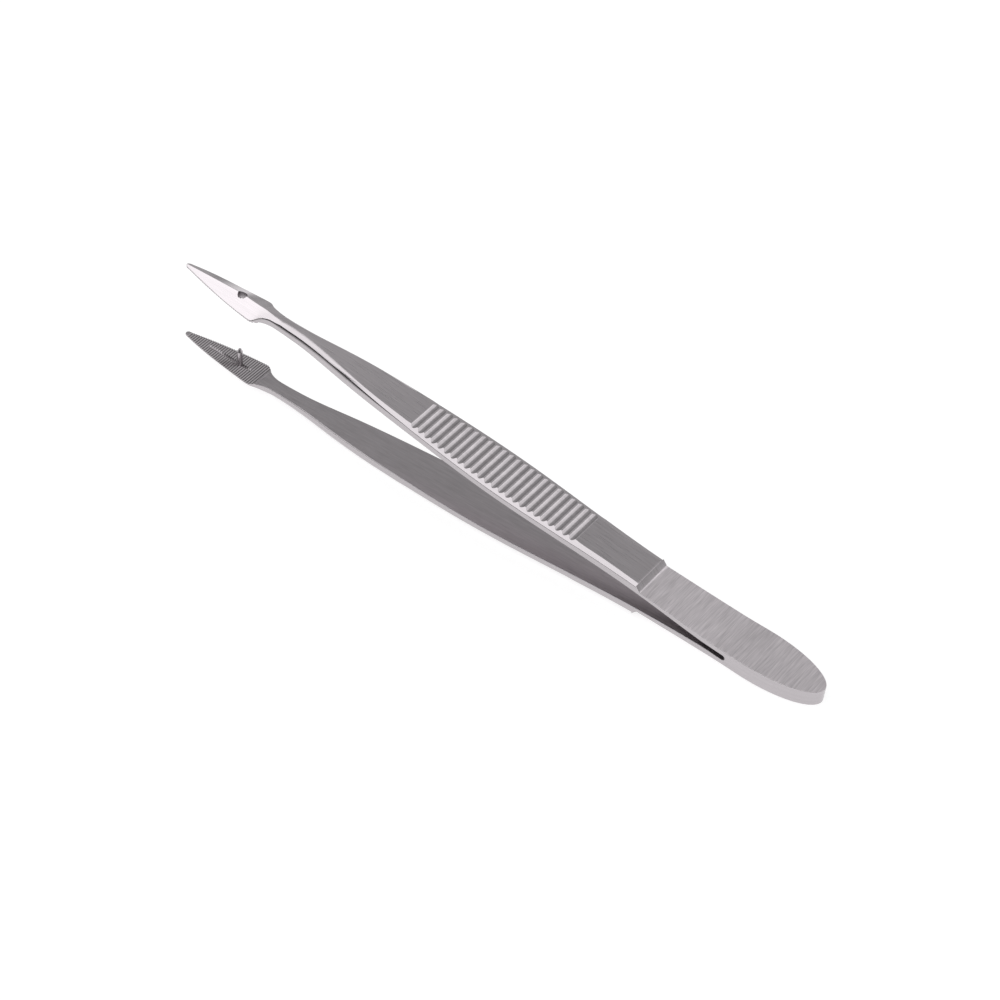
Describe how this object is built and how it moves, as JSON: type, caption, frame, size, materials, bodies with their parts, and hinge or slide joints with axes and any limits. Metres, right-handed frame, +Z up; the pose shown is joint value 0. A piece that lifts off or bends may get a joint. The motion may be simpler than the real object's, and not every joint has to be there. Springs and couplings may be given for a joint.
{
  "type": "splinter tweezers",
  "caption": "Slender steel splinter tweezers, open at rest, with pointed serrated jaws, a guide pin and hole, ribbed finger grips, thin spring stretches and a welded, rounded butt.",
  "frame": {"origin": "centre of the object's box, on the surface that it lies on", "axes": "+X from the jaw tips to the butt, +Y across the arms, +Z up from the lower arm to the upper arm"},
  "size_m": [0.1104, 0.0076, 0.0166],
  "materials": {
    "arm_steel": "satin brushed faces with polished bevels",
    "pin_steel": "turned and polished"
  },
  "bodies": {
    "root": {"upper_arm": "arm_steel", "lower_arm": "arm_steel", "guide_pin": "pin_steel"}
  },
  "joints": []
}
